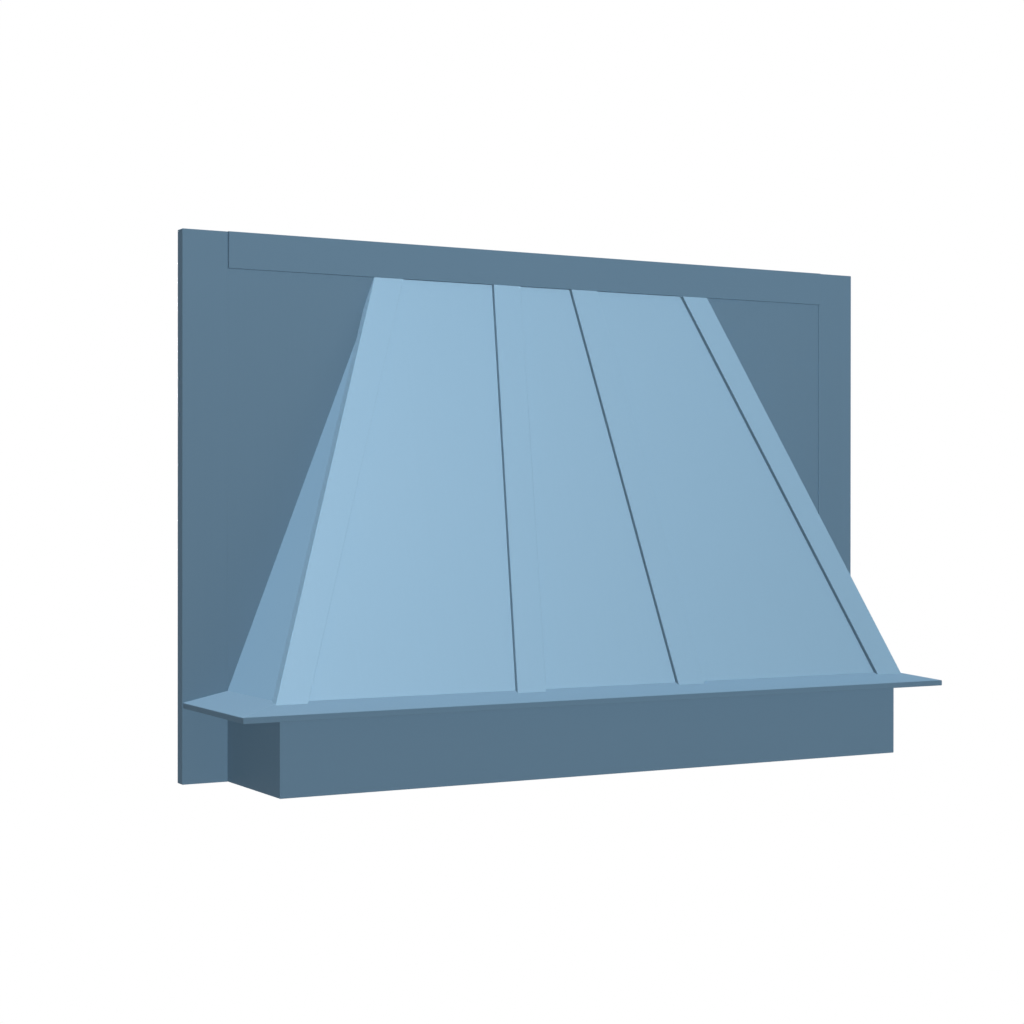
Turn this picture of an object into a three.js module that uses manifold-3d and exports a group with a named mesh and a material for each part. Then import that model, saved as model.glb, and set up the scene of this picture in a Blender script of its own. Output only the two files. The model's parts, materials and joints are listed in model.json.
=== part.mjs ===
// Wooden range hood cover: a framed plate, a tapered hood body with fanned battens, a bevelled
// ledge and an apron, with the cleats, strips, rails and screws that hold them together.
// Millimetres. Seen from the front, +X is to the right, +Y goes back to the wall, +Z is up.
// The boards are drawn from the middle of the plate, the stiles' front plane and the bottom edge.
import * as THREE from 'three';
import { mergeVertices } from 'three/addons/utils/BufferGeometryUtils.js';
import Module from 'manifold-3d';

// Plate: stiles and top rail, with a recessed field panel on each side of the hood body.
const plateWidth = 1155.5;
const plateHeight = 762;
const stileWidth = 66;
const stileThickness = 20;
const railWidth = 51;
const railProud = 4; // the top rail stands this far in front of the stiles
const panelSetback = 2; // the field panels lie this far behind the stiles' front

// Apron: the upright box under the ledge. Its sides stand in line with the stiles' inner edges.
const apronHeight = 104.5;
const apronReach = 187.5; // from the stiles' front to the apron's front
const apronThickness = 19;

// Ledge: a bevelled board on top of the apron, flat where the hood body stands on it.
const ledgeOverhang = 37; // from the apron's front to the ledge's outer edge
const ledgeInset = 1; // from the plate's end to the ledge's side edge
const ledgeThickness = 21.5;
const ledgeEdge = 8; // height of its thin outer edge

// Hood body: a leaning front sheet with battens, and two slanting side boards.
const sheetThickness = 12.5;
const sheetOverhang = 8.5; // the sheet and outer battens reach this far past the side boards
const battenThickness = 6.5;
const battenWidth = 46; // measured level, as the fan is laid out
const battenSetback = 2; // the battens' tops end this far behind the top rail's face
const innerBattenFoot = 133.5; // centre line to the middle of the fan, at the foot
const innerBattenTop = 67;
const innerBattenShift = -4; // the inner pair sits this far off the middle
const sideThickness = 18;
const sideFootInset = 0.5; // the side boards' feet stand this far inside the apron's sides
const hoodTopWidth = 561; // over the side boards, under the top rail

// Framing behind the hood body.
const hangingRailThickness = 19;
const hangingRailHeight = 100;
const mountingHoleCount = 4;
const mountingHolePitch = 120;
const mountingHoleRadius = 2.75;
const mountingHoleRise = 24; // above the hanging rail's lower edge
const rafterWidth = 38;
const rafterDepth = 28;
const cornerStripWidth = 24;
const footCleatThickness = 30;
const footCleatHeight = 46;
const cornerBlockLeg = 45;

// Rails that a vent insert is screwed to, inside the apron.
const insertRailThickness = 19;
const insertRailHeight = 38;
const insertRailRecess = 12; // above the apron's lower edge
const insertScrewEndInset = 142.75; // from the front rail's ends to its outer screws
const insertScrewFront = 40; // from the side rails' front ends to their first screws
const insertScrewBack = 30; // from the plate's back to their last screws
const insertScrewReach = 13; // into the apron

// Screws.
const shankRadius = 2;
const headRadius = 4.2;
const headHeight = 2.6;
const headRim = 1; // height of the head's upright rim
const headCrownRadius = 2.5;
const pocketScrewReach = 16; // into the piece that a pocket screw ends in
const tipLength = 4;
const pocketRadius = 4.8;
const pocketAngle = THREE.MathUtils.degToRad(15);
const pocketDepth = 18; // from a pocket's floor to the board's end, along the screw
const pocketRunout = 60; // long enough to leave the board's face
const frameScrewInset = 15; // from the top rail's edges
const hangingScrewInset = 15; // from the hanging rail's lower edge
const hangingScrewPitch = 34;

const fit = 0.3; // the glue line at every sawn or bored face
const roundSides = 16;

const wasm = await Module();
wasm.setup();

// Places that follow from the driving dimensions.
const plateHalf = plateWidth / 2;
const plateBack = stileThickness;
const railBottom = plateHeight - railWidth;
const apronHalf = plateHalf - stileWidth;
const apronInnerHalf = apronHalf - apronThickness;
const apronInnerReach = apronReach - apronThickness;
const ledgeHalf = plateHalf - ledgeInset;
const ledgeReach = apronReach + ledgeOverhang;
const ledgeLip = apronHeight + ledgeEdge;
const seat = apronHeight + ledgeThickness;
const cleatTop = apronHeight + footCleatHeight;
const cleatInnerHalf = apronInnerHalf - footCleatThickness;
const cleatInnerReach = apronInnerReach - footCleatThickness;
const insertRailTop = insertRailRecess + insertRailHeight;
const insertRailInnerHalf = apronInnerHalf - insertRailThickness;
const insertRailInnerReach = apronInnerReach - insertRailThickness;
const hangingRailBottom = railBottom - hangingRailHeight;
const hangingRailFront = plateBack - hangingRailThickness;

// The front leans back so that the sheet stands over the apron's front at its foot and the
// battens' faces reach their setback at the top rail.
const bodyRise = railBottom - seat;
const battenRun = apronReach - railProud + battenSetback;
const battenTurn = Math.asin(battenThickness / Math.hypot(battenRun, bodyRise));
const frontLean = Math.atan2(battenRun, bodyRise) + battenTurn;
const sideFootHalf = apronHalf - sideFootInset;
const sideTopHalf = hoodTopWidth / 2;
const sideLean = Math.atan2(sideFootHalf - sideTopHalf, bodyRise);

const behindSheetAt = (z) =>
  -apronReach + (z - seat) * Math.tan(frontLean) + (sheetThickness + fit) / Math.cos(frontLean);
const outerSideAt = (z) => sideFootHalf - (z - seat) * Math.tan(sideLean);
const innerSideAt = (z) => outerSideAt(z) - sideThickness / Math.cos(sideLean);

const xAxis = new THREE.Vector3(1, 0, 0);
const yAxis = new THREE.Vector3(0, 1, 0);
const zAxis = new THREE.Vector3(0, 0, 1);
const forwards = yAxis.clone().negate();
const sides = [
  { name: 'left', sign: -1 },
  { name: 'right', sign: 1 },
];

const cover = new THREE.Group();
const boards = new THREE.Group(); // all pieces, drawn from the stiles' front plane
const leaningFront = new THREE.Group(); // x along the ledge, y up the slope, z out of the sheet
leaningFront.position.set(0, -apronReach, seat);
leaningFront.rotation.x = Math.PI / 2 - frontLean;
leaningFront.updateMatrix();
boards.add(leaningFront);
cover.add(boards);

// Finishes.
const finishes = {
  paint: { color: '#8cb0cb', roughness: 0.45, metalness: 0 },
  bareWood: { color: '#c8a878', roughness: 0.75, metalness: 0 },
  zinc: { color: '#b9bdc2', roughness: 0.35, metalness: 1 },
};

function addPiece(name, geometry, finish, parent = boards) {
  const mesh = new THREE.Mesh(geometry, new THREE.MeshStandardMaterial(finishes[finish]));
  mesh.name = name;
  parent.add(mesh);
  return mesh;
}

// A flat-sided board: an outline swept between two levels. Both levels are written into the
// mesh as given, so boards that share a level meet exactly.
function sweep(outline, levels, place) {
  const [low, high] = levels[0] < levels[1] ? levels : [levels[1], levels[0]];
  const shape = new THREE.Shape(outline.map(([a, b]) => new THREE.Vector2(a, b)));
  const geometry = new THREE.ExtrudeGeometry(shape, { depth: 1, bevelEnabled: false });
  const position = geometry.attributes.position;
  for (let i = 0; i < position.count; i++) {
    const level = position.getZ(i) === 0 ? low : high;
    position.setXYZ(i, ...place(position.getX(i), position.getY(i), level));
  }
  geometry.computeVertexNormals();
  return geometry;
}

const sweepUp = (plan, levels) => sweep(plan, levels, (x, y, z) => [x, y, z]);
const sweepAcross = (profile, levels) => sweep(profile, levels, (y, z, x) => [x, y, z]);
const sweepBack = (elevation, levels) =>
  sweep(elevation.map(([x, z]) => [z, x]), levels, (z, x, y) => [x, y, z]);
const rectangle = (a0, a1, b0, b1) => [[a0, b0], [a1, b0], [a1, b1], [a0, b1]];

function toSolid(geometry) {
  const bare = geometry.clone();
  bare.deleteAttribute('normal');
  bare.deleteAttribute('uv');
  const merged = mergeVertices(bare);
  return new wasm.Manifold(new wasm.Mesh({
    numProp: 3,
    vertProperties: merged.attributes.position.array,
    triVerts: new Uint32Array(merged.index.array),
  }));
}

function toGeometry(solid) {
  const { vertProperties, triVerts } = solid.getMesh();
  const geometry = new THREE.BufferGeometry();
  geometry.setAttribute('position', new THREE.BufferAttribute(vertProperties, 3));
  geometry.setIndex(new THREE.BufferAttribute(triVerts, 1));
  geometry.computeVertexNormals();
  return geometry;
}

// Everything beyond a plane, as a block larger than the whole cover.
function beyond({ point, normal }) {
  const size = 3 * (plateWidth + plateHeight);
  const block = new THREE.BoxGeometry(size, size, size);
  block.translate(0, 0, size / 2);
  block.applyQuaternion(new THREE.Quaternion().setFromUnitVectors(zAxis, normal.clone().normalize()));
  block.translate(point.x, point.y, point.z);
  return toSolid(block);
}

const saw = (geometry, ...planes) =>
  toGeometry(planes.reduce((rest, plane) => rest.subtract(beyond(plane)), toSolid(geometry)));

const flipped = ({ point, normal }) => ({ point, normal: normal.clone().negate() });

// The same plane in the leaning front's own directions.
function inFrontFrame({ point, normal }) {
  const turnBack = leaningFront.quaternion.clone().invert();
  return {
    point: point.clone().sub(leaningFront.position).applyQuaternion(turnBack),
    normal: normal.clone().applyQuaternion(turnBack),
  };
}

const levelPlane = (z) => ({ point: new THREE.Vector3(0, 0, z), normal: zAxis });

// Parallel to a side board's outer face, a number of millimetres inside it.
const sidePlane = (sign, depth) => ({
  point: new THREE.Vector3(sign * (sideFootHalf - depth / Math.cos(sideLean)), 0, seat),
  normal: new THREE.Vector3(sign * Math.cos(sideLean), 0, Math.sin(sideLean)),
});

const behindSheetPlane = {
  point: new THREE.Vector3(0, behindSheetAt(seat), seat),
  normal: new THREE.Vector3(0, -Math.cos(frontLean), Math.sin(frontLean)),
};

// The ledge's bevels rise from its thin edge to the line of the apron's outer faces.
const bevelRise = seat - ledgeLip;
const frontBevel = {
  point: new THREE.Vector3(0, -apronReach, seat),
  normal: new THREE.Vector3(0, -bevelRise, ledgeOverhang),
};
const sideBevel = (sign) => ({
  point: new THREE.Vector3(sign * apronHalf, 0, seat),
  normal: new THREE.Vector3(sign * bevelRise, 0, ledgeHalf - apronHalf),
});

// A screw's bores and the place of its head. Where the head sits in a pocket, the pocket runs
// back from it to the board's face.
function layOutScrew(name, headSeat, direction, length, inPocket) {
  const bore = (from, to, radius) => {
    const cylinder = new THREE.CylinderGeometry(radius, radius, to - from, roundSides);
    cylinder.translate(0, (from + to) / 2, 0);
    cylinder.applyQuaternion(new THREE.Quaternion().setFromUnitVectors(yAxis, direction));
    cylinder.translate(headSeat.x, headSeat.y, headSeat.z);
    return toSolid(cylinder);
  };
  const pilot = bore(-headHeight, length + fit, shankRadius + fit);
  const bores = inPocket ? pilot.add(bore(-pocketRunout, 0, pocketRadius)) : pilot;
  return { name, headSeat, direction, length, bores };
}

const drill = (geometry, screws) =>
  toGeometry(screws.reduce((rest, screw) => rest.subtract(screw.bores), toSolid(geometry)));

// A pocket screw crosses the joint at the middle of the receiving board's thickness.
function layOutPocketScrew(name, joint, along, face) {
  const direction = along.clone().multiplyScalar(Math.cos(pocketAngle));
  direction.addScaledVector(face, -Math.sin(pocketAngle));
  const headSeat = joint.clone().addScaledVector(direction, -pocketDepth);
  return layOutScrew(name, headSeat, direction, pocketDepth + pocketScrewReach, true);
}

function addScrew({ name, headSeat, direction, length }) {
  const outline = [
    [0, length],
    [shankRadius, length - tipLength],
    [shankRadius, 0],
    [headRadius, 0],
    [headRadius, -headRim],
    [headCrownRadius, -headHeight],
    [0, -headHeight],
  ];
  const points = outline.reverse().map(([radius, along]) => new THREE.Vector2(radius, along));
  const mesh = addPiece(name, new THREE.LatheGeometry(points, roundSides), 'zinc');
  mesh.quaternion.setFromUnitVectors(yAxis, direction);
  mesh.position.copy(headSeat).addScaledVector(direction, -fit);
}

function makeFrameScrews({ name, sign }) {
  const heights = { lower: railBottom + frameScrewInset, upper: plateHeight - frameScrewInset };
  return Object.entries(heights).map(([level, z]) => layOutPocketScrew(
    `frame_screw_${name}_${level}`,
    new THREE.Vector3(sign * apronHalf, stileThickness / 2, z),
    xAxis.clone().multiplyScalar(sign),
    yAxis,
  ));
}

function makeHangingScrews({ name, sign }) {
  const lowest = hangingRailBottom + hangingScrewInset;
  const heights = { lower: lowest, upper: lowest + hangingScrewPitch };
  return Object.entries(heights).map(([level, z]) => layOutPocketScrew(
    `hanging_screw_${name}_${level}`,
    new THREE.Vector3(sign * innerSideAt(z), plateBack - hangingRailThickness / 2, z),
    xAxis.clone().multiplyScalar(sign),
    yAxis,
  ));
}

const insertScrewLength = insertRailThickness + insertScrewReach;
const insertScrewHeight = insertRailRecess + insertRailHeight / 2;

function makeSideInsertScrews({ name, sign }) {
  const places = { front: -insertRailInnerReach + insertScrewFront, back: plateBack - insertScrewBack };
  return Object.entries(places).map(([place, y]) => layOutScrew(
    `insert_screw_${name}_${place}`,
    new THREE.Vector3(sign * insertRailInnerHalf, y, insertScrewHeight),
    xAxis.clone().multiplyScalar(sign),
    insertScrewLength,
    false,
  ));
}

function makeFrontInsertScrews() {
  const outermost = apronInnerHalf - insertScrewEndInset;
  return [-outermost, 0, outermost].map((x, i) => layOutScrew(
    `insert_screw_front_${i + 1}`,
    new THREE.Vector3(x, -insertRailInnerReach, insertScrewHeight),
    forwards,
    insertScrewLength,
    false,
  ));
}

const frameScrews = sides.map(makeFrameScrews);
const hangingScrews = sides.map(makeHangingScrews);
const sideInsertScrews = sides.map(makeSideInsertScrews);
const frontInsertScrews = makeFrontInsertScrews();

// Heights on the leaning front, measured up the slope where the battens' faces pass the seat
// and the top rail's underside.
const faceFoot = -battenThickness * Math.tan(frontLean);
const faceTop = faceFoot + bodyRise / Math.cos(frontLean);
const footEdge = sideFootHalf + sheetOverhang;
const topEdge = sideTopHalf + sheetOverhang;

// An outline between two lines on the leaning front, each given by its x at the foot and at
// the top, and drawn long enough to be sawn at both ends.
function slopeOutline([leftFoot, leftTop], [rightFoot, rightTop]) {
  const at = (foot, top, y) => foot + ((top - foot) * (y - faceFoot)) / (faceTop - faceFoot);
  const low = faceFoot - ledgeThickness;
  const high = faceTop + railWidth;
  return [
    [at(leftFoot, leftTop, low), low],
    [at(rightFoot, rightTop, low), low],
    [at(rightFoot, rightTop, high), high],
    [at(leftFoot, leftTop, high), high],
  ];
}

// The space that the sheet and its outer battens take up, with the glue line around it.
function makeFrontSpace() {
  const outline = slopeOutline([-footEdge - fit, -topEdge - fit], [footEdge + fit, topEdge + fit]);
  const space = sweepUp(outline, [-sheetThickness - fit, battenThickness + fit]);
  return toSolid(space.applyMatrix4(leaningFront.matrix));
}

function addPlate() {
  const frontSpace = makeFrontSpace();
  const railPlan = rectangle(-apronHalf, apronHalf, -railProud, plateBack);
  addPiece('top_rail', drill(sweepUp(railPlan, [railBottom, plateHeight]), frameScrews.flat()), 'paint');
  sides.forEach(({ name, sign }, i) => {
    const stilePlan = rectangle(sign * plateHalf, sign * apronHalf, 0, plateBack);
    const stile = sweepUp(stilePlan, [0, plateHeight]);
    addPiece(`${name}_stile`, drill(stile, frameScrews[i]), 'paint');

    const besideHood = (z) => sign * (outerSideAt(z) + fit / Math.cos(sideLean));
    const field = [
      [sign * apronHalf, seat],
      [besideHood(seat), seat],
      [besideHood(railBottom), railBottom],
      [sign * apronHalf, railBottom],
    ];
    const panel = toSolid(sweepBack(field, [panelSetback, plateBack])).subtract(frontSpace);
    addPiece(`${name}_field_panel`, toGeometry(panel), 'paint');
  });
}

function addApron() {
  const mitreFit = fit * Math.SQRT2;
  const frontPlan = [
    [-apronHalf, -apronReach],
    [apronHalf, -apronReach],
    [apronInnerHalf, -apronInnerReach],
    [-apronInnerHalf, -apronInnerReach],
  ];
  addPiece('apron_front', drill(sweepUp(frontPlan, [0, apronHeight]), frontInsertScrews), 'paint');
  sides.forEach(({ name, sign }, i) => {
    const sidePlan = [
      [sign * apronHalf, -apronReach + mitreFit],
      [sign * apronInnerHalf, -apronInnerReach + mitreFit],
      [sign * apronInnerHalf, plateBack],
      [sign * apronHalf, plateBack],
    ];
    const board = sweepUp(sidePlan, [0, apronHeight]);
    addPiece(`apron_${name}`, drill(board, sideInsertScrews[i]), 'paint');

    const blockPlan = [
      [sign * apronInnerHalf, -apronInnerReach],
      [sign * (apronInnerHalf - cornerBlockLeg), -apronInnerReach],
      [sign * apronInnerHalf, -apronInnerReach + cornerBlockLeg],
    ];
    addPiece(`corner_block_${name}`, sweepUp(blockPlan, [insertRailTop, apronHeight]), 'bareWood');
  });
}

function addInsertRails() {
  const levels = [insertRailRecess, insertRailTop];
  const frontPlan = rectangle(-apronInnerHalf, apronInnerHalf, -apronInnerReach, -insertRailInnerReach);
  addPiece('insert_rail_front', drill(sweepUp(frontPlan, levels), frontInsertScrews), 'bareWood');
  sides.forEach(({ name, sign }, i) => {
    const width = [sign * apronInnerHalf, sign * insertRailInnerHalf];
    const plan = rectangle(...width, -insertRailInnerReach, plateBack);
    addPiece(`insert_rail_${name}`, drill(sweepUp(plan, levels), sideInsertScrews[i]), 'bareWood');
  });
}

// The mitres follow the hips where the front bevel meets the side bevels, as far as the side
// pieces' inner faces.
const hipSlope = ledgeOverhang / (ledgeHalf - apronHalf);
const hipEnd = -apronReach + apronThickness * hipSlope;

function addLedge() {
  const levels = [apronHeight, seat];
  const frontPlan = [
    [-ledgeHalf, -ledgeReach],
    [ledgeHalf, -ledgeReach],
    [apronInnerHalf, hipEnd],
    [apronInnerHalf, -apronInnerReach],
    [-apronInnerHalf, -apronInnerReach],
    [-apronInnerHalf, hipEnd],
  ];
  addPiece('ledge_front', saw(sweepUp(frontPlan, levels), frontBevel), 'paint');

  const mitreFit = fit * Math.hypot(1, hipSlope);
  sides.forEach(({ name, sign }) => {
    const sidePlan = [
      [sign * ledgeHalf, -ledgeReach + mitreFit],
      [sign * apronInnerHalf, hipEnd + mitreFit],
      [sign * apronInnerHalf, plateBack],
      [sign * apronHalf, plateBack],
      [sign * apronHalf, 0],
      [sign * ledgeHalf, 0],
    ];
    addPiece(`ledge_${name}`, saw(sweepUp(sidePlan, levels), sideBevel(sign)), 'paint');
  });
}

function addFootCleats() {
  const levels = [apronHeight, cleatTop];
  const frontPlan = rectangle(-apronInnerHalf, apronInnerHalf, -apronInnerReach, -cleatInnerReach);
  addPiece('foot_cleat_front', saw(
    sweepUp(frontPlan, levels),
    behindSheetPlane,
    ...sides.map(({ sign }) => sidePlane(sign, sideThickness + fit)),
  ), 'bareWood');
  sides.forEach(({ name, sign }) => {
    const plan = rectangle(sign * apronInnerHalf, sign * cleatInnerHalf, -cleatInnerReach, plateBack);
    const cleat = saw(sweepUp(plan, levels), sidePlane(sign, sideThickness + fit));
    addPiece(`foot_cleat_${name}`, cleat, 'bareWood');
  });
}

function addSideBoards() {
  const profile = [
    [behindSheetAt(seat), seat],
    [plateBack, seat],
    [plateBack, railBottom],
    [behindSheetAt(railBottom), railBottom],
  ];
  sides.forEach(({ name, sign }, i) => {
    const board = saw(
      sweepAcross(profile, [0, sign * ledgeHalf]),
      sidePlane(sign, 0),
      flipped(sidePlane(sign, sideThickness)),
    );
    addPiece(`side_board_${name}`, drill(board, hangingScrews[i]), 'paint');
  });
}

function addCornerStrips() {
  const stripRun = cornerStripWidth / Math.cos(frontLean);
  const foot = cleatTop + fit;
  const head = hangingRailBottom - fit;
  const profile = [
    [behindSheetAt(foot), foot],
    [behindSheetAt(foot) + stripRun, foot],
    [behindSheetAt(head) + stripRun, head],
    [behindSheetAt(head), head],
  ];
  sides.forEach(({ name, sign }) => {
    const strip = saw(
      sweepAcross(profile, [0, sign * ledgeHalf]),
      sidePlane(sign, sideThickness + fit),
      flipped(sidePlane(sign, sideThickness + fit + cornerStripWidth)),
    );
    addPiece(`corner_strip_${name}`, strip, 'bareWood');
  });
}

function makeMountingBores() {
  return Array.from({ length: mountingHoleCount }, (_, i) => {
    const x = (i - (mountingHoleCount - 1) / 2) * mountingHolePitch;
    const length = 4 * hangingRailThickness;
    const bore = new THREE.CylinderGeometry(mountingHoleRadius, mountingHoleRadius, length, roundSides);
    bore.translate(x, 0, hangingRailBottom + mountingHoleRise);
    return { bores: toSolid(bore) };
  });
}

function addHangingRail() {
  const blank = sweepUp(
    rectangle(-apronHalf, apronHalf, hangingRailFront, plateBack),
    [hangingRailBottom, railBottom],
  );
  const rail = saw(
    blank,
    behindSheetPlane,
    ...sides.map(({ sign }) => sidePlane(sign, sideThickness + fit)),
  );
  addPiece('hanging_rail', drill(rail, [...hangingScrews.flat(), ...makeMountingBores()]), 'bareWood');
}

const underTopRail = inFrontFrame(levelPlane(railBottom - fit));

// The space that the ledge takes up, raised by the glue line.
function makeLedgeSpace() {
  const table = saw(
    sweepUp(rectangle(-ledgeHalf, ledgeHalf, -ledgeReach, plateBack), [0, seat]),
    frontBevel,
    ...sides.map(({ sign }) => sideBevel(sign)),
  );
  table.translate(0, 0, fit);
  table.applyMatrix4(leaningFront.matrix.clone().invert());
  return toSolid(table);
}

function addFront() {
  const ledgeSpace = makeLedgeSpace();
  const trim = (geometry) => toGeometry(toSolid(saw(geometry, underTopRail)).subtract(ledgeSpace));

  const sheet = sweepUp(slopeOutline([-footEdge, -topEdge], [footEdge, topEdge]), [-sheetThickness, 0]);
  addPiece('front_sheet', trim(sheet), 'paint', leaningFront);

  const fan = [
    [-footEdge + battenWidth / 2, -topEdge + battenWidth / 2],
    [innerBattenShift - innerBattenFoot, innerBattenShift - innerBattenTop],
    [innerBattenShift + innerBattenFoot, innerBattenShift + innerBattenTop],
    [footEdge - battenWidth / 2, topEdge - battenWidth / 2],
  ];
  const alongFan = ([foot, top], width) =>
    slopeOutline([foot - width / 2, top - width / 2], [foot + width / 2, top + width / 2]);
  fan.forEach((line, i) => {
    const batten = sweepUp(alongFan(line, battenWidth), [fit, battenThickness]);
    addPiece(`batten_${i + 1}`, trim(batten), 'paint', leaningFront);
  });

  // A rafter stands behind each inner batten, from the foot cleat to the hanging rail.
  const onFootCleat = flipped(inFrontFrame(levelPlane(cleatTop + fit)));
  const underHangingRail = inFrontFrame(levelPlane(hangingRailBottom - fit));
  const rafterFront = -sheetThickness - fit;
  sides.forEach(({ name }, i) => {
    const blank = sweepUp(alongFan(fan[i + 1], rafterWidth), [rafterFront - rafterDepth, rafterFront]);
    addPiece(`rafter_${name}`, saw(blank, onFootCleat, underHangingRail), 'bareWood', leaningFront);
  });
}

addPlate();
addApron();
addInsertRails();
addLedge();
addFootCleats();
addSideBoards();
addCornerStrips();
addHangingRail();
addFront();
[frameScrews, hangingScrews, sideInsertScrews, frontInsertScrews].flat(2).forEach(addScrew);

// The finished cover is placed by the middle of the hanging rail's back, which meets the wall.
boards.position.set(0, -plateBack, -(hangingRailBottom + hangingRailHeight / 2));

export default cover;
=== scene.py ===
import json
from math import pi, radians

import bmesh
import bpy
from mathutils import Matrix, Vector
from mathutils.bvhtree import BVHTree

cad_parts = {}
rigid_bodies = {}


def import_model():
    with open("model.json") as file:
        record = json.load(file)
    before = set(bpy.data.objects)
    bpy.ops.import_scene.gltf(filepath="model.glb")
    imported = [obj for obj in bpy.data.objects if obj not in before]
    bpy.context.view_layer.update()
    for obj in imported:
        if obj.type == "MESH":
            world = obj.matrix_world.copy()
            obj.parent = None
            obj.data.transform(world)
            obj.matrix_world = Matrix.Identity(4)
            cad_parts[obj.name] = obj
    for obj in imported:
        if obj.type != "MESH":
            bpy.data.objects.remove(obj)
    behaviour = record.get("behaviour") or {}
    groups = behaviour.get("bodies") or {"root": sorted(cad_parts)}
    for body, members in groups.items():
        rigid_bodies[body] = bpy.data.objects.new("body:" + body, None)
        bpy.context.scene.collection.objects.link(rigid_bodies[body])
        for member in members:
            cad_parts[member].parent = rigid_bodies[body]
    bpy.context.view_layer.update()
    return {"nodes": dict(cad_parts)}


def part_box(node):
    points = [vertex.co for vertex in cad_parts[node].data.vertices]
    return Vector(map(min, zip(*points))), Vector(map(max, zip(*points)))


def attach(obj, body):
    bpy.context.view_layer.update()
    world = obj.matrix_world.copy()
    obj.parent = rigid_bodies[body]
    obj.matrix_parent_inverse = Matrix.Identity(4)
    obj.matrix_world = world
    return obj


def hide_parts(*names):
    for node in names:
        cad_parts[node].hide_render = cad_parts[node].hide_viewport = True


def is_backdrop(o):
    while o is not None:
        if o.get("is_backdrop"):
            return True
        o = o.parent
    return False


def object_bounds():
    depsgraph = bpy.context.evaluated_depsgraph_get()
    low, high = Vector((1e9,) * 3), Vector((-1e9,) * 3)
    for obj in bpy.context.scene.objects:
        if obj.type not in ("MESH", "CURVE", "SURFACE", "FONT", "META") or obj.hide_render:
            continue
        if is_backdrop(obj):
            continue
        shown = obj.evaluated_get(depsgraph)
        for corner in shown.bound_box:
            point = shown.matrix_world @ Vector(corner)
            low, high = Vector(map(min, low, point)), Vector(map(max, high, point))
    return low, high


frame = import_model()
nodes = frame["nodes"]
print("loaded", len(nodes), "solids")

photoView = {
    "place": (-1.5098, -2.6260, -0.2801),
    "turn": 29.058,  # degrees to the right of straight on
    "tilt": -0.145,
    "roll": -0.04,
    "lens": 70.15,
}


def addCamera(view):
    data = bpy.data.cameras.new("photoCamera")
    data.lens = view["lens"]
    data.sensor_width = 36
    holder = bpy.data.objects.new("photoCamera", data)
    holder.location = view["place"]
    turns = (90 + view["tilt"], view["roll"], -view["turn"])
    holder.rotation_euler = [radians(turn) for turn in turns]
    bpy.context.scene.collection.objects.link(holder)
    bpy.context.scene.camera = holder


addCamera(photoView)
print("camera placed")


def addNode(tree, kind, values=None, **settings):
    node = tree.nodes.new(kind)
    for name, value in settings.items():
        setattr(node, name, value)
    for socket, value in (values or {}).items():
        if isinstance(value, bpy.types.NodeSocket):
            tree.links.new(value, node.inputs[socket])
        else:
            node.inputs[socket].default_value = value
    return node


def compute(tree, operation, *values):
    return addNode(tree, "ShaderNodeMath", dict(enumerate(values)), operation=operation).outputs[0]


# A pattern of 0 to 1, turned to go as far below 0 as above it.
def swing(tree, pattern, reach):
    return compute(tree, "MULTIPLY", compute(tree, "SUBTRACT", pattern, 0.5), reach)


def mixColours(tree, share, first, second, mode="MIX"):
    node = addNode(tree, "ShaderNodeMix", data_type="RGBA", blend_type=mode)
    for socket, value in ((0, share), (6, first), (7, second)):
        if isinstance(value, bpy.types.NodeSocket):
            tree.links.new(value, node.inputs[socket])
        else:
            node.inputs[socket].default_value = value
    return node.outputs[2]


def darken(tree, colour, tone):
    shade = addNode(tree, "ShaderNodeCombineXYZ", {0: tone, 1: tone, 2: tone}).outputs[0]
    return mixColours(tree, 1.0, colour, shade, "MULTIPLY")


def addNoise(tree, vector, scale, detail=2.0, roughness=0.5):
    values = {"Vector": vector, "Scale": scale, "Detail": detail, "Roughness": roughness}
    return addNode(tree, "ShaderNodeTexNoise", values).outputs["Fac"]


def stretch(tree, vector, scale, rotation=(0, 0, 0), location=(0, 0, 0)):
    values = {"Vector": vector, "Scale": scale, "Rotation": rotation, "Location": location}
    return addNode(tree, "ShaderNodeMapping", values).outputs[0]


def newGroup(name, inputs, outputs):
    tree = bpy.data.node_groups.new(name, "ShaderNodeTree")
    for label, kind, value in inputs:
        socket = tree.interface.new_socket(label, in_out="INPUT", socket_type=kind)
        if value is not None:
            socket.default_value = value
    for label, kind in outputs:
        tree.interface.new_socket(label, in_out="OUTPUT", socket_type=kind)
    return tree, addNode(tree, "NodeGroupInput").outputs, addNode(tree, "NodeGroupOutput").inputs


def useGroup(tree, group, values):
    node = tree.nodes.new("ShaderNodeGroup")
    node.node_tree = group
    for socket, value in values.items():
        if isinstance(value, bpy.types.NodeSocket):
            tree.links.new(value, node.inputs[socket])
        else:
            node.inputs[socket].default_value = value
    return node.outputs


vectorKind = "NodeSocketVector"
colourKind = "NodeSocketColor"
floatKind = "NodeSocketFloat"


fibreLook = {
    "length": 9.0,
    "fineness": 420.0,
    "breakUp": 0.6,
    "bandScale": (1.6, 34.0, 34.0),  # broad bands of lighter and darker wood
}


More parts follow.
